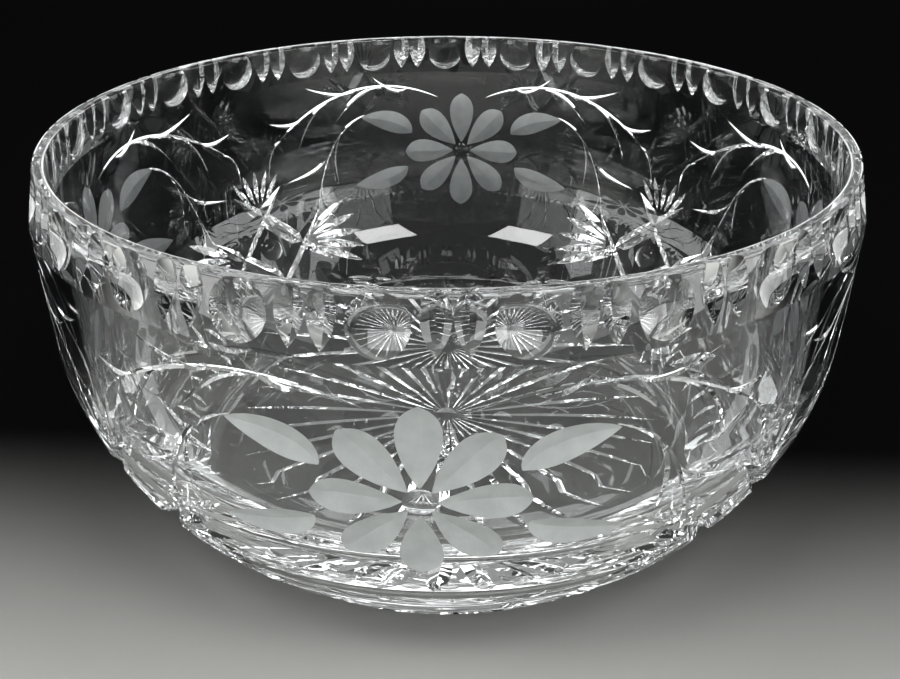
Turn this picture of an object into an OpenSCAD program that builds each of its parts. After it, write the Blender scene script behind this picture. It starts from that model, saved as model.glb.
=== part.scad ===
// Cut-crystal trifle bowl: one piece of thick clear glass with a cut rim, four cut panels and a star base.
// Millimetres, +Z up. The origin is the middle of the base, where it rests. The front is -Y.

/* [Bowl] */
// Outer diameter of the straight wall
bowl_d = 228; // [200:1:260]
// Overall height
bowl_h = 110; // [104:1:124]
// Height of the straight part of the wall, from the rim down
straight_h = 42; // [34:1:50]
// Diameter of the flat base
foot_d = 164; // [152:1:168]
// Height of the upright band around the base
foot_band_h = 1.5; // [0.5:0.1:4]
// Height of the tapered part of the wall, from the rim down
taper_h = 14; // [13.5:0.5:20]
// Thickness of the straight wall
wall_t = 6.5; // [5.5:0.1:9]
// Thickness of the glass at the rim
rim_t = 3.3; // [2.8:0.1:4.5]
// Thickness of the glass at the middle of the base
base_t = 18; // [14:0.5:22]
// Radius between the inside wall and the inside floor, seen in section
floor_r = 44; // [40:1:56]
// Radius that rounds both edges of the rim
rim_edge_r = 1.2; // [0.4:0.1:1.3]

/* [Rim cuts] */
// Times that a pair of mitre cuts and a thumb cut repeat around the rim
rim_repeats = 25; // [15:1:25]
// Turn from the front to the nearest pair of mitre cuts, in degrees
rim_turn = 3.4; // [0:0.1:14]
// How far a mitre cut reaches below the rim
rim_mitre_h = 12.5; // [8:0.5:13]
// Drop from the rim to the deepest place of a mitre cut
rim_mitre_drop = 4.6; // [3:0.1:6]
// Width of a mitre cut at its widest
rim_mitre_w = 6.2; // [3:0.1:6.2]
// Depth of a mitre cut at its deepest
rim_mitre_depth = 2.4; // [1:0.1:2.6]
// Distance between the two mitre cuts of a pair
rim_pair_gap = 6.4; // [6.4:0.1:7.4]
// Diameter of a thumb cut
thumb_d = 13.4; // [8:0.2:14]
// Depth of a thumb cut at its middle
thumb_depth = 2.2; // [1:0.1:2.4]
// Drop from the rim to the middle of a thumb cut
thumb_drop = 6.4; // [4:0.1:8]

/* [Star base] */
// Number of rays
star_rays = 32; // [16:4:36]
// Diameter over the tips of the rays
star_d = 140; // [110:1:146]
// Diameter of the plain middle, inside the rays
star_hub_d = 5; // [4:0.5:12]
// Width of a ray at its widest
star_ray_w = 3.4; // [1.5:0.1:4]
// Depth of a ray at its deepest
star_ray_depth = 2.2; // [0.8:0.1:3]

/* [Cut panels] */
// Number of panels around the lower wall
panels = 4; // [2:1:4]
// Turn from the front to the first panel, in degrees
panel_turn = 45; // [30:1:60]
// Height of the middle of a panel above the table
panel_z = 33; // [32:0.5:40]
// Half of the diagonal of the plain diamond in the middle
diamond_half = 14; // [11:0.5:16]
// Length of the four bold cuts that cross around the diamond
bold_l = 46; // [40:1:47]
// Width of a bold cut
bold_w = 6.4; // [3:0.1:7]
// Depth of a bold cut
bold_depth = 3; // [1:0.1:3.5]
// Diameter of the round print in the diamond
print_d = 10; // [6:0.5:11]
// Depth of the round print
print_depth = 1.2; // [0.5:0.1:2]
// Number of blades in each fan
fan_blades = 5; // [1:2:5]
// Angle from one blade of a fan to the next, in degrees
fan_step = 16; // [15:0.5:18]
// Gap from the corner of the diamond to the start of a blade
fan_gap = 6; // [5.5:0.5:9]
// Length of the blades that rise above the diamond
top_blade_l = 36; // [24:1:40]
// Length of the blades at either side of the diamond
side_blade_l = 21; // [14:1:23]
// Length of the blades that run down to the base
low_blade_l = 18; // [12:1:19]
// Width of a blade
blade_w = 3.4; // [2:0.1:3.6]
// Depth of a blade
blade_depth = 1.8; // [0.6:0.1:2.4]

/* [Hidden] */
$fn = 128;

outer_r = bowl_d / 2;
inner_r = outer_r - wall_t;
foot_r = foot_d / 2;
// The rounded wall is one arc: upright where it meets the straight wall, and ending on top of the foot band.
curve_z = bowl_h - straight_h;
curve_rise = curve_z - foot_band_h;
curve_in = outer_r - foot_r;
curve_r = (curve_rise * curve_rise + curve_in * curve_in) / (2 * curve_in);
curve_x = outer_r - curve_r;
// The tapered wall starts at taper_z and leans in up to the rounded outer edge of the rim.
taper_z = bowl_h - taper_h;
rim_z = bowl_h - rim_edge_r;
rim_r = inner_r + rim_t;
taper_lean = atan2(outer_r - rim_r, rim_z - taper_z);
// A cutter stands this far clear of the glass
air = 0.3;

// Slope of the wall at a height: 0 where it is upright, less where it leans in
function wall_slope(z) = z > taper_z ? -taper_lean : z >= curve_z ? 0 : asin((curve_z - z) / curve_r);

// Outer radius at a height
function wall_radius(z) =
    z > taper_z ? outer_r - (z - taper_z) * tan(taper_lean) : curve_x + curve_r * cos(wall_slope(z));

// Height reached by going a distance up the outside of the wall
function climb(z, distance) =
    let (slope = wall_slope(z) - distance / curve_r * 180 / PI)
    z >= curve_z ? z + distance
    : slope < 0 ? curve_z - slope / 180 * PI * curve_r
    : curve_z - curve_r * sin(slope);

// Radius of the wall's own curve along a cut that leans from upright by an angle
function wall_bow(z, lean) =
    let (upright = z >= curve_z ? 0 : 1 / curve_r)
    1 / (upright * cos(lean) ^ 2 + cos(wall_slope(z)) / wall_radius(z) * sin(lean) ^ 2 + 0.0001);

// Half section of the outside, filled
module outer_section() {
    polygon([[0, curve_z], [outer_r, curve_z], [outer_r, taper_z], [rim_r, rim_z], [0, rim_z]]);
    square([foot_r, foot_band_h]);
    translate([0, foot_band_h]) square([foot_r, curve_rise]);
    intersection() {
        translate([curve_x, curve_z]) circle(r = curve_r);
        translate([0, foot_band_h]) square([outer_r, curve_rise]);
    }
}

// Half section of the hollow, open at the top
module inner_section() {
    floor_z = base_t + floor_r;
    translate([0, floor_z]) square([inner_r, bowl_h - floor_z + air]);
    translate([0, base_t]) square([inner_r - floor_r, floor_r]);
    intersection() {
        translate([inner_r - floor_r, floor_z]) circle(r = floor_r);
        translate([0, base_t]) square([inner_r, floor_r]);
    }
}

// Half section of the rim with both edges rounded
module rim_section() {
    translate([inner_r + rim_edge_r, rim_z - air]) square([rim_t - 2 * rim_edge_r, rim_edge_r + air]);
    translate([inner_r + rim_edge_r, rim_z]) circle(r = rim_edge_r);
    translate([rim_r - rim_edge_r, rim_z]) circle(r = rim_edge_r);
}

// The uncut bowl
module blank() {
    rotate_extrude() {
        difference() {
            outer_section();
            inner_section();
        }
        rim_section();
    }
}

// A wheel cut: a V groove along X with pointed ends and an arched root, as a V-edged wheel leaves it in one touch.
// The glass is below, flat along the cut, with its surface through the origin.
module wheel_cut(length, width, depth) {
    wheel_r = (length * length / 4 + depth * depth) / (2 * depth);
    reach = depth + air;
    half = reach * width / 2 / depth;
    // The sweep runs past both points of the cut, to where the wheel's edge is clear of the glass
    sweep = 2 * acos((wheel_r - reach) / wheel_r);
    translate([0, 0, wheel_r - depth])
        rotate([90, 0, 0])
            rotate([0, 0, 270 - sweep / 2])
                rotate_extrude(angle = sweep)
                    polygon([[wheel_r, 0], [wheel_r - reach, half], [wheel_r - reach, -half]]);
}

// A mitre cut: a V groove along X, deepest in the middle, with its two strokes running out to points.
// The glass is below, with its surface through the origin. bow is the radius of that surface along the cut.
module mitre_cut(length, width, depth, bow = 0) {
    fall = bow > 0 ? length * length / (8 * bow) : 0;
    end_x = length / 2 + air;
    end_z = -fall + air * (depth - fall) / (length / 2);
    slope = width / 2 / depth;
    half_mid = (depth + air) * slope;
    half_end = (air - end_z) * slope;
    polyhedron(
        points = [
            [-end_x, 0, end_z], [0, 0, -depth], [end_x, 0, end_z],
            [-end_x, half_end, air], [0, half_mid, air], [end_x, half_end, air],
            [-end_x, -half_end, air], [0, -half_mid, air], [end_x, -half_end, air]
        ],
        faces = [
            [1, 4, 3, 0], [2, 5, 4, 1], [6, 7, 1, 0], [7, 8, 2, 1],
            [3, 6, 0], [8, 5, 2], [4, 5, 8, 7, 6, 3]
        ]
    );
}

// A thumb cut: a shallow round hollow. The glass is below, with its surface through the origin.
// The ball is turned so that its poles stay clear of the glass.
module thumb_cut(width, depth) {
    ball_r = (width * width / 4 + depth * depth) / (2 * depth);
    translate([0, 0, ball_r - depth])
        rotate([90, 0, 0]) sphere(r = ball_r);
}

// Puts a cutter on the outside of the wall: Z out of the glass, X down the wall. Turn is from the front.
module on_wall(turn, z) {
    rotate([0, 0, turn - 90])
        translate([wall_radius(z), 0, z])
            rotate([0, wall_slope(z) + 90, 0]) children();
}

// A mitre cut on the wall. across and up lead from the point at turn and z to the middle of the cut.
module wall_mitre(turn, z, across, up, lean, length, width, depth) {
    mid_z = climb(z, up);
    mid_turn = turn + across / wall_radius(mid_z) * 180 / PI;
    on_wall(mid_turn, mid_z)
        rotate([0, 0, -lean]) mitre_cut(length, width, depth, wall_bow(mid_z, lean));
}

// The pairs of pointed mitre cuts and the thumb cuts between them, around the rim
module rim_cuts() {
    pitch = 360 / rim_repeats;
    mitre_z = bowl_h - rim_mitre_drop;
    mitre_l = 2 * (rim_mitre_h - rim_mitre_drop);
    pair_turn = rim_pair_gap / wall_radius(mitre_z) * 180 / PI;
    for (i = [0 : rim_repeats - 1])
        on_wall(rim_turn + i * pitch - pair_turn / 2, mitre_z) wheel_cut(mitre_l, rim_mitre_w, rim_mitre_depth);
    for (i = [0 : rim_repeats - 1])
        on_wall(rim_turn + i * pitch + pair_turn / 2, mitre_z) wheel_cut(mitre_l, rim_mitre_w, rim_mitre_depth);
    for (i = [0 : rim_repeats - 1])
        on_wall(rim_turn + (i + 0.5) * pitch, bowl_h - thumb_drop) thumb_cut(thumb_d, thumb_depth);
}

// The star under the base: rays that start at a plain hub and end inside the foot
module star_cuts() {
    ray_l = (star_d - star_hub_d) / 2;
    for (i = [0 : star_rays - 1])
        rotate([0, 0, i * 360 / star_rays])
            translate([star_hub_d / 2 + ray_l / 2, 0, 0])
                rotate([180, 0, 0]) mitre_cut(ray_l, star_ray_w, star_ray_depth);
}

// A fan of blades that opens from a corner of the diamond, in the direction of heading
module fan_cuts(turn, heading, blade_l) {
    reach = fan_gap + blade_l / 2;
    for (i = [0 : fan_blades - 1]) {
        lean = heading + (i - (fan_blades - 1) / 2) * fan_step;
        across = diamond_half * sin(heading) + reach * sin(lean);
        up = diamond_half * cos(heading) + reach * cos(lean);
        wall_mitre(turn, panel_z, across, up, lean, blade_l, blade_w, blade_depth);
    }
}

// One panel: bold cuts that cross around a diamond, a round print in it and a fan at each corner
module panel_cuts(turn) {
    step = diamond_half / 2;
    for (side = [-1, 1], level = [-1, 1])
        wall_mitre(turn, panel_z, side * step, level * step, atan2(level, -side), bold_l, bold_w, bold_depth);
    on_wall(turn, panel_z) thumb_cut(print_d, print_depth);
    fan_cuts(turn, 0, top_blade_l);
    fan_cuts(turn, 90, side_blade_l);
    fan_cuts(turn, 180, low_blade_l);
    fan_cuts(turn, 270, side_blade_l);
}

// The bowl as it stands, in one piece
module bowl() {
    color("#dfe6e4", 0.5)
    difference() {
        blank();
        rim_cuts();
        star_cuts();
        for (i = [0 : panels - 1])
            panel_cuts(panel_turn + i * 360 / panels);
    }
}

bowl();
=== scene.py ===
"""Looks of a cut-crystal trifle bowl.

The bowl is one revolved body of clear glass. Every ornament is ground into it: a cutter is a V-shaped or
round section carried along a path on the wall, and a boolean takes it out of the body, so each facet is real
geometry. Lengths are in millimetres until a mesh is made. Those of the lamps and the floor's painted shade are in
metres, and all angles are in degrees.
"""
import math

import bpy
import numpy as np
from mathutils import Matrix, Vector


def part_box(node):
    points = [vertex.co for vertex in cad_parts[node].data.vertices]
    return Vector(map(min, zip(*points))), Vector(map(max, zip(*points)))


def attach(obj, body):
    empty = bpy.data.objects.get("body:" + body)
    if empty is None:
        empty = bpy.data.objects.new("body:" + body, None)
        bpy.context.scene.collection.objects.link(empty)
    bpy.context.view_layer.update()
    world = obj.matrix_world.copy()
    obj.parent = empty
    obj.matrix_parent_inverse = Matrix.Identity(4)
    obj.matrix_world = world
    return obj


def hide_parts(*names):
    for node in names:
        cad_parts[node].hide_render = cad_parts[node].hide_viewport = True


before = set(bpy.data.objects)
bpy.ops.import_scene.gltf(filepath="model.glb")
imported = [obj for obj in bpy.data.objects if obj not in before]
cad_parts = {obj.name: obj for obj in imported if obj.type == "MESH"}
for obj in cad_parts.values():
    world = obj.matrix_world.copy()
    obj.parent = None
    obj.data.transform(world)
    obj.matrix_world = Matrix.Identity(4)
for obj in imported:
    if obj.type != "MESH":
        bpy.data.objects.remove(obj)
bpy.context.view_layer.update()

MM = 0.001

# Sizes of the body
low_corner, high_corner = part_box("bowl")
OUTER_R = (high_corner.x - low_corner.x) / 2 / MM
HEIGHT = high_corner.z / MM
STRAIGHT_H = 42
TAPER_H = 14
FOOT_R = 82
FOOT_BAND = 1.5
WALL = 6.5
RIM = 3.3
BASE = 18
FLOOR_R = 44
RIM_EDGE = 1.2
BODY_TURNS = 240
INNER_R = OUTER_R - WALL
# The rounded part of the wall is an arc that is upright at CURVE_Z and ends on the band of the foot.
CURVE_Z = HEIGHT - STRAIGHT_H
CURVE_IN = OUTER_R - FOOT_R
CURVE_RISE = CURVE_Z - FOOT_BAND
CURVE_R = (CURVE_RISE ** 2 + CURVE_IN ** 2) / (2 * CURVE_IN)
CURVE_X = OUTER_R - CURVE_R
# The tapered wall leans in from TAPER_Z up to the rounded outer edge of the rim.
TAPER_Z = HEIGHT - TAPER_H
RIM_Z = HEIGHT - RIM_EDGE
RIM_R = INNER_R + RIM
TAPER_LEAN = math.atan2(OUTER_R - RIM_R, RIM_Z - TAPER_Z)

# A cutter stands this far proud of the glass.
LIFT = 0.3

# Rim: pairs of pointed mitres, and a round thumb cut between the pairs
RIM_REPEATS = 25
RIM_TURN = 3.4
MITRE_TURN = 1.64
MITRE_DROP = 4.6
MITRE_L, MITRE_W, MITRE_DEPTH = 15.8, 6.2, 2.4
THUMB_DROP = 6.4
THUMB_W, THUMB_DEPTH = 13.4, 1.7

# Star under the base
STAR_RAYS = 32
STAR_HUB = 2.5
STAR_L, STAR_W, STAR_DEPTH = 67.5, 5.0, 1.4
STAR_SKEW = 0.2

# Panels: crossed mitres round a diamond, a print in it, and at each corner a fan, given by its heading from
# upright and its blades' length and width
PANELS = 4
PANEL_TURN = 45
PANEL_Z = 33
DIAMOND_HALF = 14
BOLD_L, BOLD_W, BOLD_DEPTH = 50, 6.4, 3
PRINT_W, PRINT_DEPTH = 10, 1.2
FANS = ((0, 13, 2.2), (90, 21, 3.4), (180, 18, 3.4), (270, 21, 3.4))
FAN_FOLDS = (-32, -16, 0, 16, 32)
FAN_START = 6
FAN_DEPTH = 1.8

# Thin leaves on the lower diagonals of the panels
CORNER_HEADINGS = (135, 225)
CORNER_FOLDS = (-30, -15, 0, 15, 30)
CORNER_OUT = 28
CORNER_START = 3
CORNER_L, CORNER_W, CORNER_DEPTH = 22, 2.8, 1.2
CORNER_SKEW = 0.15

# Broad leaves and flutes above the foot
LEAF_GROUPS = 2 * PANELS
LEAF_Z = 3
LEAF_FOLDS = (-42, 0, 42)
LEAF_START = 6
LEAF_L, LEAF_W, LEAF_DEPTH = 26, 8.4, 1.7
FLUTES = 60
FLUTE_Z = 8.5
FLUTE_L, FLUTE_W, FLUTE_DEPTH = 12, 5.6, 1.1

# Matt blossoms between the panels; each side leaf is given by its heading from upright, reach, length and bow
BLOSSOM_Z = 64
PETALS = 8
PETAL_REACH = 13.4
PETAL_L, PETAL_W = 20, 10.4
PETAL_SKEW, PETAL_POWER, PETAL_EASE = 0.3, 1.15, 1.1
SIDE_LEAVES = ((70, 33, 22, -2.0), (106, 35, 23, 2.0))
SIDE_LEAF_W = 8.4
SIDE_LEAF_SKEW, SIDE_LEAF_POWER = -0.2, 1.2
MATT_DEPTH = 1.2
BUTTON_W, BUTTON_DEPTH = 7.6, 0.9

# Sprays to either side of the blossoms. Each is the curve of its stem for the right half, seen from the
# blossom's middle, then its blades: where along the stem, the side it springs to, its angle from the stem and
# its length.
STEM_W, STEM_DEPTH = 1.2, 0.4
BLADE_START = 1.2
BLADE_W, BLADE_DEPTH = 1.5, 0.5
BLADE_BOW, BLADE_SKEW = 2.6, -0.2
SPRAYS = (
    (((10, 22), (44, 36), (78, 10)),
     ((0.16, -1, 6, 15), (0.34, 1, 34, 22), (0.46, -1, 14, 22), (0.66, 1, 32, 22), (0.8, -1, 24, 15),
      (0.97, 1, 30, 16))),
    (((40, 16), (60, 10), (62, -26)),
     ((0.3, 1, 40, 20), (0.5, -1, 36, 20), (0.74, 1, 36, 18), (0.9, -1, 32, 16))),
)

# The glass
CRYSTAL_COLOUR = "#fbfdfd"
CRYSTAL_IOR = 1.54

# Floor: half its width, how far it lies below the base, and where its painted shade starts and ends, front to
# back
FLOOR_HALF = 2500
FLOOR_DROP = 0.3
PAINTED_SHADE_START, PAINTED_SHADE_END = -0.18, 0.0

# Camera, from the bowl's outline in the photograph: its place is a turn from the front, a distance and a height
SENSOR, LENS = 36, 37.6
CAMERA_TURN, CAMERA_BACK, CAMERA_HEIGHT = 2.9, 263.6, 187.1
CAMERA_TILT, CAMERA_ASIDE = 29.56, 0.15

# What the lamps are turned to, in metres
NEAR_FOOT = (0, 0, 0.05)
MID_WALL = (0, 0, 0.08)


def linear(hex_colour):
    """sRGB hex to linear RGBA."""
    channels = np.array([int(hex_colour[i:i + 2], 16) for i in (1, 3, 5)]) / 255
    value = np.where(channels <= 0.04045, channels / 12.92, ((channels + 0.055) / 1.055) ** 2.4)
    return (*value.tolist(), 1.0)


def per_metre(size):
    """Scale of a pattern whose features are a size in millimetres: how many of them go into a metre."""
    return 1 / (size * MM)


def add_node(tree, kind, settings=None, links=None):
    """Adds a node, sets sockets or properties by name, and links sockets from other nodes' outputs."""
    node = tree.nodes.new(kind)
    for name, value in (settings or {}).items():
        if name in node.inputs:
            node.inputs[name].default_value = value
        else:
            setattr(node, name, value)
    for name, source in (links or {}).items():
        tree.links.new(source, node.inputs[name])
    return node


def new_material(name):
    """A material with only an output node."""
    material = bpy.data.materials.new(name)
    material.use_nodes = True
    material.node_tree.nodes.clear()
    return material, add_node(material.node_tree, "ShaderNodeOutputMaterial")


def lead_crystal():
    """Blown lead crystal, fire-polished: colourless, very clear, with a high index that makes edges flash.

    The surface is a little wavy over some centimetres, and handling has left it very faintly uneven in gloss.
    """
    material, out = new_material("lead_crystal")
    tree = material.node_tree
    place = add_node(tree, "ShaderNodeTexCoord").outputs["Object"]
    wave = add_node(tree, "ShaderNodeTexNoise", {"Scale": per_metre(35.7), "Detail": 1.0}, {"Vector": place})
    bump = add_node(tree, "ShaderNodeBump", {"Strength": 0.3, "Distance": 0.3 * MM},
                    {"Height": wave.outputs["Fac"]})
    smear = add_node(tree, "ShaderNodeTexNoise", {"Scale": per_metre(16.7), "Detail": 4.0}, {"Vector": place})
    rough = add_node(tree, "ShaderNodeMapRange",
                     {"From Min": 0.5, "From Max": 0.8, "To Min": 0.0, "To Max": 0.02},
                     {"Value": smear.outputs["Fac"]})
    shader = add_node(tree, "ShaderNodeBsdfPrincipled", {
        "Base Color": linear(CRYSTAL_COLOUR), "IOR": CRYSTAL_IOR, "Transmission Weight": 1.0}, {
        "Roughness": rough.outputs["Result"], "Normal": bump.outputs["Normal"]})
    tree.links.new(shader.outputs["BSDF"], out.inputs["Surface"])
    return material


def polished_cut():
    """Wheel-cut crystal, acid-polished: as clear as the body, with a faint ripple left by the wheel."""
    material, out = new_material("polished_cut")
    tree = material.node_tree
    place = add_node(tree, "ShaderNodeTexCoord").outputs["Object"]
    ripple = add_node(tree, "ShaderNodeTexNoise", {"Scale": per_metre(2.86), "Detail": 1.0}, {"Vector": place})
    bump = add_node(tree, "ShaderNodeBump", {"Strength": 0.3, "Distance": 0.03 * MM},
                    {"Height": ripple.outputs["Fac"]})
    shader = add_node(tree, "ShaderNodeBsdfPrincipled", {
        "Base Color": linear(CRYSTAL_COLOUR), "Roughness": 0.0, "IOR": CRYSTAL_IOR,
        "Transmission Weight": 1.0}, {"Normal": bump.outputs["Normal"]})
    tree.links.new(shader.outputs["BSDF"], out.inputs["Surface"])
    return material


def matt_engraving():
    """Stone-wheel engraving left unpolished: a fine grey bloom that scatters light and lets some through.

    The bloom is a little uneven over some millimetres. The grit that roughens it is drawn about half a
    millimetre wide, coarser than a real wheel's, so that it shows.
    """
    material, out = new_material("matt_engraving")
    tree = material.node_tree
    place = add_node(tree, "ShaderNodeTexCoord").outputs["Object"]
    cloud = add_node(tree, "ShaderNodeTexNoise", {"Scale": per_metre(4.55), "Detail": 3.0}, {"Vector": place})
    grit = add_node(tree, "ShaderNodeTexNoise", {"Scale": per_metre(0.455), "Detail": 1.0}, {"Vector": place})
    bloom = add_node(tree, "ShaderNodeValToRGB", links={"Fac": cloud.outputs["Fac"]})
    grey, pale = bloom.color_ramp.elements
    grey.position, grey.color = 0.3, linear("#b9bebd")
    pale.position, pale.color = 0.7, linear("#cdd2d1")
    rough = add_node(tree, "ShaderNodeMapRange", {"To Min": 0.62, "To Max": 0.8},
                     {"Value": cloud.outputs["Fac"]})
    bump = add_node(tree, "ShaderNodeBump", {"Strength": 0.25, "Distance": 0.2 * MM},
                    {"Height": grit.outputs["Fac"]})
    shader = add_node(tree, "ShaderNodeBsdfPrincipled", {"IOR": CRYSTAL_IOR, "Transmission Weight": 0.4}, {
        "Base Color": bloom.outputs["Color"], "Roughness": rough.outputs["Result"],
        "Normal": bump.outputs["Normal"]})
    tree.links.new(shader.outputs["BSDF"], out.inputs["Surface"])
    return material


def pale_floor():
    """Pale paper in front of the object that darkens smoothly to near black at the object's middle and stays dark
    behind it: painted shade under the object that runs on into a dark backdrop.
    """
    material, out = new_material("pale_floor")
    tree = material.node_tree
    place = add_node(tree, "ShaderNodeTexCoord").outputs["Object"]
    axes = add_node(tree, "ShaderNodeSeparateXYZ", links={"Vector": place})
    # Painted shade: the floor's colour goes from pale in front to near black under the middle of the bowl and
    # behind it.
    back = add_node(tree, "ShaderNodeMapRange", {
        "From Min": PAINTED_SHADE_START, "From Max": PAINTED_SHADE_END, "interpolation_type": "SMOOTHSTEP"},
        {"Value": axes.outputs["Y"]})
    ramp = add_node(tree, "ShaderNodeValToRGB", links={"Fac": back.outputs["Result"]})
    ramp.color_ramp.elements[0].color = linear("#d2d2ce")
    ramp.color_ramp.elements[1].color = linear("#0a0a0b")
    shader = add_node(tree, "ShaderNodeBsdfPrincipled", {"Roughness": 0.9, "Specular IOR Level": 0.0},
                      {"Base Color": ramp.outputs["Color"]})
    tree.links.new(shader.outputs["BSDF"], out.inputs["Surface"])
    return material


def make_object(name, vertices, faces, material):
    """A mesh object from an array of points in millimetres and a list of faces."""
    mesh = bpy.data.meshes.new(name)
    mesh.from_pydata((vertices * MM).tolist(), [], faces)
    mesh.materials.append(material)
    mesh.update()
    obj = bpy.data.objects.new(name, mesh)
    bpy.context.scene.collection.objects.link(obj)
    return obj


def arc(centre, radius, start, end, count):
    """Points on a circle from one angle to another."""
    angle = np.radians(np.linspace(start, end, count))
    return np.stack([centre[0] + radius * np.cos(angle), centre[1] + radius * np.sin(angle)], 1)


def body_section():
    """Half section of the body as stretches from the middle of the base, up the outside and down the inside.

    Each stretch is its points, and for a round one the centre and the side that the glass's surface faces.
    """
    floor_z = BASE + FLOOR_R
    curve = (CURVE_X, CURVE_Z)
    low = -math.degrees(math.asin(CURVE_RISE / CURVE_R))
    outer_edge = (RIM_R - RIM_EDGE, RIM_Z)
    inner_edge = (INNER_R + RIM_EDGE, RIM_Z)
    floor_edge = (INNER_R - FLOOR_R, floor_z)

    def line(start, end, count):
        return np.linspace(start, end, count), None, 1

    return [
        line((0, 0), (FOOT_R, 0), 6),
        line((FOOT_R, 0), (FOOT_R, FOOT_BAND), 2),
        (arc(curve, CURVE_R, low, 0, 28), curve, 1),
        line((OUTER_R, CURVE_Z), (OUTER_R, TAPER_Z), 6),
        line((OUTER_R, TAPER_Z), (RIM_R, RIM_Z), 4),
        (arc(outer_edge, RIM_EDGE, 0, 90, 6), outer_edge, 1),
        line((RIM_R - RIM_EDGE, HEIGHT), (INNER_R + RIM_EDGE, HEIGHT), 2),
        (arc(inner_edge, RIM_EDGE, 90, 180, 6), inner_edge, 1),
        line((INNER_R, RIM_Z), (INNER_R, floor_z), 8),
        (arc(floor_edge, FLOOR_R, 0, -90, 28), floor_edge, -1),
        line((INNER_R - FLOOR_R, BASE), (0, BASE), 5),
    ]


def ring_quads(index):
    """Quads between the rows of a grid of point numbers, each row closed into a ring."""
    ahead = np.roll(index, -1, 1)
    return np.stack([index[:-1], ahead[:-1], ahead[1:], index[1:]], -1).reshape(-1, 4).tolist()


def revolved_body(stretches, turns):
    """The section carried round the axis: a grid of turn by section point, closed at the axis by two fans."""
    section = np.concatenate([s[0][:-1] for s in stretches] + [stretches[-1][0][-1:]])
    ring = section[1:-1]
    angle = np.arange(turns) * 2 * np.pi / turns
    grid = np.stack([
        np.cos(angle)[:, None] * ring[None, :, 0],
        np.sin(angle)[:, None] * ring[None, :, 0],
        np.broadcast_to(ring[None, :, 1], (turns, len(ring))),
    ], -1)
    index = np.arange(turns * len(ring)).reshape(turns, len(ring))
    ahead = np.roll(index, -1, 0)
    quads = np.stack([index[:, :-1], ahead[:, :-1], ahead[:, 1:], index[:, 1:]], -1).reshape(-1, 4)
    bottom, top = turns * len(ring), turns * len(ring) + 1
    low_fan = np.stack([np.full(turns, bottom), ahead[:, 0], index[:, 0]], -1)
    top_fan = np.stack([np.full(turns, top), index[:, -1], ahead[:, -1]], -1)
    vertices = np.concatenate([grid.reshape(-1, 3), [[0, 0, 0], [0, 0, section[-1, 1]]]])
    return vertices, quads.tolist() + low_fan.tolist() + top_fan.tolist()


def body_normals(stretches, points, middles):
    """Exact normals of the uncut body at points, each on the stretch nearest to its face's middle.

    A straight stretch's normal is square to it, and a round one's points from its centre or to it.
    """
    def flat(p):
        return np.stack([np.hypot(p[:, 0], p[:, 1]), p[:, 2]], 1)

    near = np.full(len(points), np.inf)
    normal = np.zeros((len(points), 2))
    where, face = flat(points), flat(middles)
    for line, centre, side in stretches:
        if centre is None:
            start, end = line[0], line[-1]
            along = (end - start) / np.linalg.norm(end - start)
            reach = np.clip((face - start) @ along, 0, np.linalg.norm(end - start))
            distance = np.linalg.norm(face - start - reach[:, None] * along, axis=1)
            facing = np.broadcast_to([along[1], -along[0]], where.shape)
        else:
            centre = np.array(centre)
            radius = np.linalg.norm(line[0] - centre)
            distance = np.abs(np.linalg.norm(face - centre, axis=1) - radius)
            lowest, highest = np.minimum(line[0], line[-1]), np.maximum(line[0], line[-1])
            outside = np.maximum(np.maximum(lowest - face, face - highest), 0).sum(1)
            distance = distance + outside
            facing = side * (where - centre) / radius
        better = distance < near
        near[better] = distance[better]
        normal[better] = facing[better]
    around = points[:, :2] / np.maximum(where[:, :1], 1e-9)
    out = np.concatenate([around * normal[:, :1], normal[:, 1:]], 1)
    return out / np.linalg.norm(out, axis=1, keepdims=True)


def wall_level(z):
    """Distance up the outside of the wall from the top of its rounded part to a height: negative below it."""
    if z > TAPER_Z:
        return TAPER_Z - CURVE_Z + (z - TAPER_Z) / math.cos(TAPER_LEAN)
    return z - CURVE_Z if z >= CURVE_Z else -CURVE_R * math.asin((CURVE_Z - z) / CURVE_R)


def on_wall(turn, across, up):
    """Points and normals of the outer wall: turn is from the front, across and up go along the glass.

    The wall's slope is the arc's own angle on the rounded part, none on the straight part and the taper's
    lean above.
    """
    over = np.maximum(up - (TAPER_Z - CURVE_Z), 0)
    bent = np.maximum(-up / CURVE_R, 0)
    slope = np.where(over > 0, -TAPER_LEAN, bent)
    radius = CURVE_X + CURVE_R * np.cos(bent) - over * math.sin(TAPER_LEAN)
    z = CURVE_Z + np.maximum(up, 0) - CURVE_R * np.sin(bent) - over * (1 - math.cos(TAPER_LEAN))
    angle = math.radians(turn - 90) + across / radius
    around = np.stack([np.cos(angle), np.sin(angle)], -1)
    points = np.concatenate([around * radius[..., None], z[..., None]], -1)
    normals = np.concatenate([around * np.cos(slope)[..., None], -np.sin(slope)[..., None]], -1)
    return points, normals


def groove(points, normals, depth, half_width, power, sections):
    """A cutter: a section carried along points, as deep as depth says below the surface there.

    Across the groove the section is depth times one minus the offset to a power: 1 is a V, 2 is round. It is
    lifted a little above the glass, and its width follows its depth as a wheel of one shape leaves it.
    """
    along = np.gradient(points, axis=0)
    along /= np.linalg.norm(along, axis=1, keepdims=True)
    side = np.cross(normals, along)
    side /= np.linalg.norm(side, axis=1, keepdims=True)
    offset = np.linspace(-1, 1, sections)
    total = np.maximum(depth + LIFT, 0.02)
    spread = half_width / depth.max() ** (1 / power) * total ** (1 / power)
    across = spread[:, None] * offset
    height = LIFT - total[:, None] * (1 - np.abs(offset) ** power)
    grid = points[:, None] + side[:, None] * across[..., None] + normals[:, None] * height[..., None]
    index = np.arange(len(points) * sections).reshape(len(points), sections)
    return grid.reshape(-1, 3), ring_quads(index) + [index[0, ::-1].tolist(), index[-1].tolist()]


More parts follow.
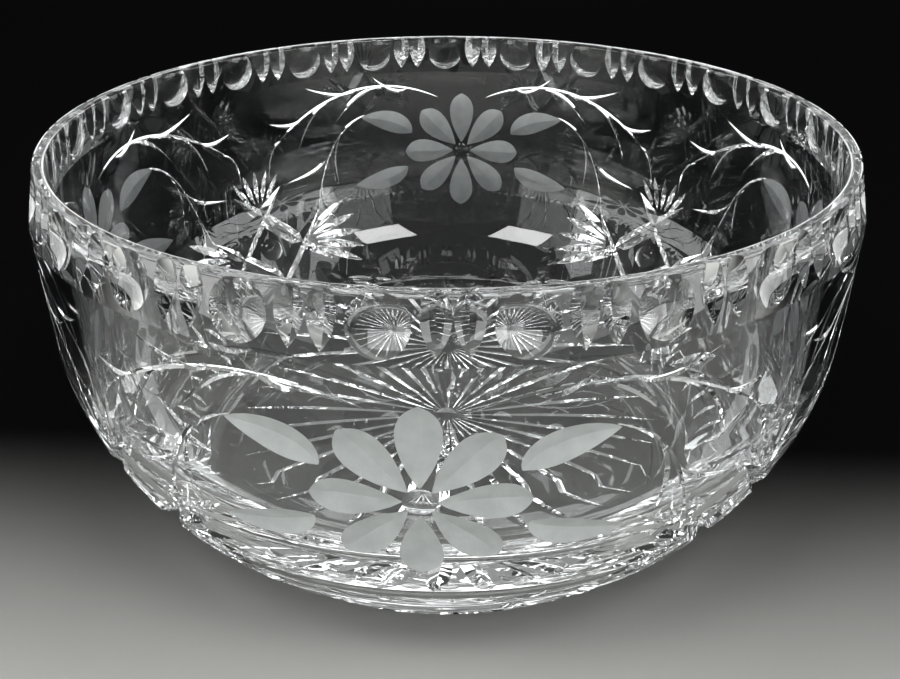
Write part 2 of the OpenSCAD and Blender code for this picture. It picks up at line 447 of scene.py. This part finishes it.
def stations(count, depth_max, ease):
    """Places along a groove from -1 to 1, a little past its tips, and the depth there.

    The depth is the arch, one minus the place squared, to the power ease: 1 is an arched root.
    """
    past = math.sqrt(1 + (0.6 * LIFT / depth_max) ** (1 / ease))
    t = np.linspace(-past, past, count)
    arch = 1 - t * t
    return t, depth_max * np.sign(arch) * np.abs(arch) ** ease


def wall_groove(turn, across, up, lean, length, width, depth, bow=0.0, skew=0.0, power=1, ease=1, count=25):
    """A groove on the wall, centred at across and up from the front at turn and leaning from upright.

    bow bends the path sideways by that much in its middle, and skew moves the widest place along it.
    """
    t, depths = stations(count, depth, ease)
    run = (t + skew * (1 - t * t)) * length / 2
    aside = bow * (1 - t * t)
    angle = math.radians(lean)
    path_across = across + run * math.sin(angle) + aside * math.cos(angle)
    path_up = up + run * math.cos(angle) - aside * math.sin(angle)
    points, normals = on_wall(turn, path_across, path_up)
    return groove(points, normals, depths, width / 2, power, 3 if power == 1 else 9)


def step(lean, reach):
    """How far across and up a reach goes in a direction that leans from upright."""
    return reach * math.sin(math.radians(lean)), reach * math.cos(math.radians(lean))


def fan(turn, up, heading, out, folds, start, length, width, depth, skew=0.0):
    """Blades spread from a point that lies out along a heading: each is turned by its fold and starts clear."""
    root_across, root_rise = step(heading, out)
    pieces = []
    for fold in folds:
        across, rise = step(heading + fold, start + length / 2)
        pieces.append(wall_groove(turn, root_across + across, up + (root_rise + rise), heading + fold,
                                  length, width, depth, skew=skew))
    return pieces


def bend(start, pull, end, t):
    """Place and heading on a curve from start to end that is drawn towards pull, for t from 0 to 1."""
    start, pull, end = (np.array(p, float) for p in (start, pull, end))
    t = np.asarray(t, float)[..., None]
    place = start * (1 - t) ** 2 + pull * 2 * t * (1 - t) + end * t ** 2
    heading = 2 * (1 - t) * (pull - start) + 2 * t * (end - pull)
    return place, heading


def stem(turn, curve, width, depth):
    """A thin groove along a curve on the wall."""
    t, depths = stations(41, depth, 0.5)
    place, _ = bend(*curve, (t + 1) / 2)
    points, normals = on_wall(turn, place[:, 0], place[:, 1])
    return groove(points, normals, depths, width / 2, 1, 3)


def thumb(turn, up, width, depth):
    """A round hollow on the wall: a cap of a ball, closed by a lid above the glass.

    Its points are rings of polar angle by turn about the wall's normal.
    """
    ball = (width ** 2 / 4 + depth ** 2) / (2 * depth)
    reach = math.acos((ball - depth - LIFT) / ball)
    points, normals = on_wall(turn, np.zeros(1), np.full(1, up))
    out = normals[0]
    right = np.array([-out[1], out[0], 0]) / math.hypot(out[0], out[1])
    above = np.cross(out, right)
    polar = np.linspace(0, reach, 9)[1:, None]
    turnings = np.linspace(0, 2 * np.pi, 48, endpoint=False)[None]
    shape = (
        (ball * np.sin(polar) * np.cos(turnings))[..., None] * right
        + (ball * np.sin(polar) * np.sin(turnings))[..., None] * above
        + (ball - depth - ball * np.cos(polar) + 0 * turnings)[..., None] * out
    )
    grid = points[0] + shape
    rows, columns = grid.shape[:2]
    index = np.arange(rows * columns).reshape(rows, columns)
    bottom = rows * columns
    cap = np.stack([np.full(columns, bottom), np.roll(index[0], -1), index[0]], -1).tolist()
    vertices = np.concatenate([grid.reshape(-1, 3), [points[0] - depth * out]])
    return vertices, ring_quads(index) + cap + [index[-1].tolist()]


def joined(pieces):
    """Several meshes as one list of points and one list of faces."""
    vertices, faces, count = [], [], 0
    for points, polygons in pieces:
        vertices.append(points)
        faces += [[i + count for i in polygon] for polygon in polygons]
        count += len(points)
    return np.concatenate(vertices), faces


def panel_turns():
    """Where the panels are around the bowl."""
    return [PANEL_TURN + i * 360 / PANELS for i in range(PANELS)]


def blossom_turns():
    """Where the blossoms are around the bowl, from the front and midway between the panels."""
    return [i * 360 / PANELS for i in range(PANELS)]


def rim_cutters():
    """Pairs of pointed V cuts and a round thumb cut between the pairs, around the rim."""
    pitch = 360 / RIM_REPEATS
    pieces = []
    for i in range(RIM_REPEATS):
        turn = RIM_TURN + i * pitch
        for side in (-MITRE_TURN, MITRE_TURN):
            pieces.append(wall_groove(turn + side, 0, wall_level(HEIGHT - MITRE_DROP), 0,
                                      MITRE_L, MITRE_W, MITRE_DEPTH))
        pieces.append(thumb(turn + pitch / 2, wall_level(HEIGHT - THUMB_DROP), THUMB_W, THUMB_DEPTH))
    return pieces


def star_cutters(odd):
    """Every other ray under the base, from a small hub almost to the edge: an arched V, widest well out."""
    pieces = []
    t, depths = stations(25, STAR_DEPTH, 1)
    run = STAR_HUB + (t + STAR_SKEW * (1 - t * t) + 1) * STAR_L / 2
    for i in range(odd, STAR_RAYS, 2):
        angle = 2 * np.pi * i / STAR_RAYS
        points = np.stack([run * math.cos(angle), run * math.sin(angle), 0 * run], 1)
        normals = np.broadcast_to([0.0, 0.0, -1.0], points.shape)
        pieces.append(groove(points, normals, depths, STAR_W / 2, 1, 3))
    return pieces


def bold_cutters(hand):
    """The bold cuts of every panel that lean to one hand, along two sides of the diamond."""
    pieces = []
    half = DIAMOND_HALF / 2
    up = wall_level(PANEL_Z)
    for turn in panel_turns():
        for side in (-1, 1):
            level = side * hand
            lean = math.degrees(math.atan2(level, -side))
            pieces.append(wall_groove(turn, side * half, up + level * half, lean,
                                      BOLD_L, BOLD_W, BOLD_DEPTH, count=33))
    return pieces


def fan_cutters():
    """A fan of blades at each corner of the diamond and a round print in it."""
    pieces = []
    up = wall_level(PANEL_Z)
    for turn in panel_turns():
        for heading, length, width in FANS:
            pieces += fan(turn, up, heading, DIAMOND_HALF, FAN_FOLDS, FAN_START, length, width, FAN_DEPTH)
        pieces.append(thumb(turn, up, PRINT_W, PRINT_DEPTH))
    return pieces


def corner_cutters():
    """Thin leaves between the lower fans of every panel, spread from a point out on each diagonal."""
    pieces = []
    up = wall_level(PANEL_Z)
    for turn in panel_turns():
        for heading in CORNER_HEADINGS:
            pieces += fan(turn, up, heading, CORNER_OUT, CORNER_FOLDS, CORNER_START,
                          CORNER_L, CORNER_W, CORNER_DEPTH, skew=CORNER_SKEW)
    return pieces


def leaf_cutters():
    """Groups of three broad leaves that rise from the foot, side by side around the lower wall."""
    pieces = []
    up = wall_level(LEAF_Z)
    for i in range(LEAF_GROUPS):
        turn = PANEL_TURN / 2 + i * 360 / LEAF_GROUPS
        pieces += fan(turn, up, 0, 0, LEAF_FOLDS, LEAF_START, LEAF_L, LEAF_W, LEAF_DEPTH)
    return pieces


def foot_cutters():
    """Short upright flutes side by side just above the foot."""
    up = wall_level(FLUTE_Z)
    return [wall_groove((i + 0.5) * 360 / FLUTES, 0, up, 0, FLUTE_L, FLUTE_W, FLUTE_DEPTH)
            for i in range(FLUTES)]


def blossom_cutters(odd):
    """Every other broad matt petal of each blossom, and with the odd ones two matt leaves at either side."""
    pieces = []
    up = wall_level(BLOSSOM_Z)
    for turn in blossom_turns():
        for petal in range(odd, PETALS, 2):
            lean = petal * 360 / PETALS
            across, rise = step(lean, PETAL_REACH)
            pieces.append(wall_groove(turn, across, up + rise, lean, PETAL_L, PETAL_W, MATT_DEPTH,
                                      skew=PETAL_SKEW, power=PETAL_POWER, ease=PETAL_EASE))
        for side in (-1, 1) if odd else ():
            for lean, reach, length, bow in SIDE_LEAVES:
                across, rise = step(lean, reach)
                pieces.append(wall_groove(turn, side * across, up + rise, side * lean, length, SIDE_LEAF_W,
                                          MATT_DEPTH, bow=side * bow, skew=SIDE_LEAF_SKEW,
                                          power=SIDE_LEAF_POWER))
    return pieces


def button_cutters():
    """The polished round hollow in the middle of each blossom."""
    return [thumb(turn, wall_level(BLOSSOM_Z), BUTTON_W, BUTTON_DEPTH) for turn in blossom_turns()]


def spray_curves():
    """Each spray of each blossom: where it is around the bowl, its side, the curve of its stem and its blades."""
    up = wall_level(BLOSSOM_Z)
    return [(turn, side, [(side * x, up + y) for x, y in curve], blades)
            for turn in blossom_turns() for side in (-1, 1) for curve, blades in SPRAYS]


def stem_cutters():
    """The stems of the sprays."""
    return [stem(turn, curve, STEM_W, STEM_DEPTH) for turn, _, curve, _ in spray_curves()]


def blade_cutters():
    """The leaves of the sprays: thin bright blades that stand off the stem to either side."""
    pieces = []
    for turn, side, curve, blades in spray_curves():
        for t, hand, angle, length in blades:
            place, heading = bend(*curve, t)
            lean = math.degrees(math.atan2(heading[0], heading[1])) + side * hand * angle
            across, rise = step(lean, BLADE_START + length / 2)
            pieces.append(wall_groove(turn, place[0] + across, place[1] + rise, lean, length, BLADE_W,
                                      BLADE_DEPTH, bow=-side * hand * BLADE_BOW, skew=BLADE_SKEW))
    return pieces


def carve(bowl, pieces, material):
    """Takes the joined cutters out of the bowl, and gives the ground faces the cutters' material."""
    cutter = make_object("cutter", *joined(pieces), material)
    modifier = bowl.modifiers.new("carve", "BOOLEAN")
    modifier.operation = "DIFFERENCE"
    modifier.solver = "MANIFOLD"
    modifier.material_mode = "TRANSFER"
    modifier.object = cutter
    graph = bpy.context.evaluated_depsgraph_get()
    cut = bpy.data.meshes.new_from_object(bowl.evaluated_get(graph))
    old = bowl.data
    bowl.modifiers.clear()
    bowl.data = cut
    bpy.data.meshes.remove(old)
    bpy.data.objects.remove(cutter)


def read(items, name, kind):
    """One number of each of a mesh's items, as an array."""
    values = np.zeros(len(items), kind)
    items.foreach_get(name, values)
    return values


def read_vectors(items, name):
    """One vector of each of a mesh's items, as an array with a row for each."""
    values = np.zeros(len(items) * 3, np.float32)
    items.foreach_get(name, values)
    return values.reshape(-1, 3)


def polish(bowl, stretches):
    """Sharp edges where facets meet, and exact normals on what is left of the body."""
    mesh = bowl.data
    mesh.polygons.foreach_set("use_smooth", np.ones(len(mesh.polygons), bool))
    mesh.set_sharp_from_angle(angle=math.radians(20))
    totals = read(mesh.polygons, "loop_total", np.int32)
    corner_slot = np.repeat(read(mesh.polygons, "material_index", np.int32), totals)
    corner_vertex = read(mesh.loops, "vertex_index", np.int32)
    corner_edge = read(mesh.loops, "edge_index", np.int32)
    positions = read_vectors(mesh.vertices, "co") / MM
    middles = np.repeat(read_vectors(mesh.polygons, "center") / MM, totals, axis=0)
    # An edge between two materials is sharp too.
    lowest = np.full(len(mesh.edges), len(mesh.materials))
    highest = np.full(len(mesh.edges), -1)
    np.minimum.at(lowest, corner_edge, corner_slot)
    np.maximum.at(highest, corner_edge, corner_slot)
    sharp = read(mesh.edges, "use_edge_sharp", bool)
    mesh.edges.foreach_set("use_edge_sharp", sharp | (lowest != highest))
    mesh.update()
    normals = read_vectors(mesh.corner_normals, "vector")
    body = corner_slot == 0
    normals[body] = body_normals(stretches, positions[corner_vertex[body]], middles[body])
    mesh.normals_split_custom_set(normals.tolist())


def build_bowl():
    """The bowl, cut and engraved. Cutters that would overlap go in carves of their own."""
    crystal, cut, matt = lead_crystal(), polished_cut(), matt_engraving()
    stretches = body_section()
    bowl = make_object("cut_bowl", *revolved_body(stretches, BODY_TURNS), crystal)
    carve(bowl, rim_cutters() + star_cutters(0), cut)
    carve(bowl, star_cutters(1), cut)
    carve(bowl, bold_cutters(1), cut)
    carve(bowl, bold_cutters(-1), cut)
    carve(bowl, fan_cutters(), cut)
    carve(bowl, corner_cutters(), cut)
    carve(bowl, leaf_cutters(), cut)
    carve(bowl, foot_cutters(), cut)
    carve(bowl, stem_cutters(), cut)
    carve(bowl, blade_cutters(), cut)
    carve(bowl, blossom_cutters(0), matt)
    carve(bowl, blossom_cutters(1), matt)
    carve(bowl, button_cutters(), cut)
    polish(bowl, stretches)
    return bowl


def add_light(name, place, aim, size, brightness):
    """A soft rectangular lamp at a place, turned to a point. Its power is its area times its brightness."""
    lamp = bpy.data.lights.new(name, "AREA")
    lamp.shape = "RECTANGLE"
    lamp.size, lamp.size_y = size
    lamp.energy = brightness * math.pi * size[0] * size[1]
    obj = bpy.data.objects.new(name, lamp)
    bpy.context.scene.collection.objects.link(obj)
    direction = np.array(aim) - np.array(place)
    obj.location = place
    obj.rotation_euler = (
        math.atan2(math.hypot(direction[0], direction[1]), -direction[2]), 0,
        math.atan2(direction[0], -direction[1]) + math.pi)


def add_camera():
    """The camera where the photograph was taken from."""
    camera = bpy.data.cameras.new("camera")
    camera.sensor_width = SENSOR
    camera.lens = LENS
    obj = bpy.data.objects.new("camera", camera)
    bpy.context.scene.collection.objects.link(obj)
    turn = math.radians(CAMERA_TURN)
    obj.location = (CAMERA_BACK * math.sin(turn) * MM, -CAMERA_BACK * math.cos(turn) * MM,
                    CAMERA_HEIGHT * MM)
    obj.rotation_euler = (math.radians(90 - CAMERA_TILT), 0, turn - math.radians(CAMERA_ASIDE))
    bpy.context.scene.camera = obj


scene = bpy.context.scene
scene.view_settings.view_transform = "Standard"
bowl = build_bowl()
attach(bowl, "root")
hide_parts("bowl")

floor_corners = np.array([[-1, -1], [1, -1], [1, 1], [-1, 1]]) * FLOOR_HALF
floor = make_object("floor", np.insert(floor_corners.astype(float), 2, -FLOOR_DROP, axis=1), [[0, 1, 2, 3]],
                    pale_floor())

world = bpy.data.worlds.new("studio")
scene.world = world
world.use_nodes = True
world.node_tree.nodes["Background"].inputs["Color"].default_value = linear("#8a8a8a")
world.node_tree.nodes["Background"].inputs["Strength"].default_value = 1.0

for side, name in ((-1, "left"), (1, "right")):
    add_light(name + "_key", (side * 0.36, -0.44, 0.92), NEAR_FOOT, (0.28, 0.26), 13)
    add_light(name + "_low", (side * 0.75, -0.15, 0.16), MID_WALL, (0.9, 0.25), 4.5)
    add_light(name + "_front", (side * 0.5, -0.6, 0.16), MID_WALL, (0.4, 0.2), 1.8)
add_light("back_box", (0, 0.8, 0.95), NEAR_FOOT, (0.7, 0.3), 4)
add_light("back_low", (0, 1.25, 0.22), MID_WALL, (2.4, 0.36), 2.5)
add_camera()

# Light passes many faces of the cut glass, and through it to the matt engraving and the floor.
scene.cycles.caustics_refractive = True
scene.cycles.caustics_reflective = False
scene.cycles.max_bounces = 24
scene.cycles.transmission_bounces = 24
scene.cycles.glossy_bounces = 16
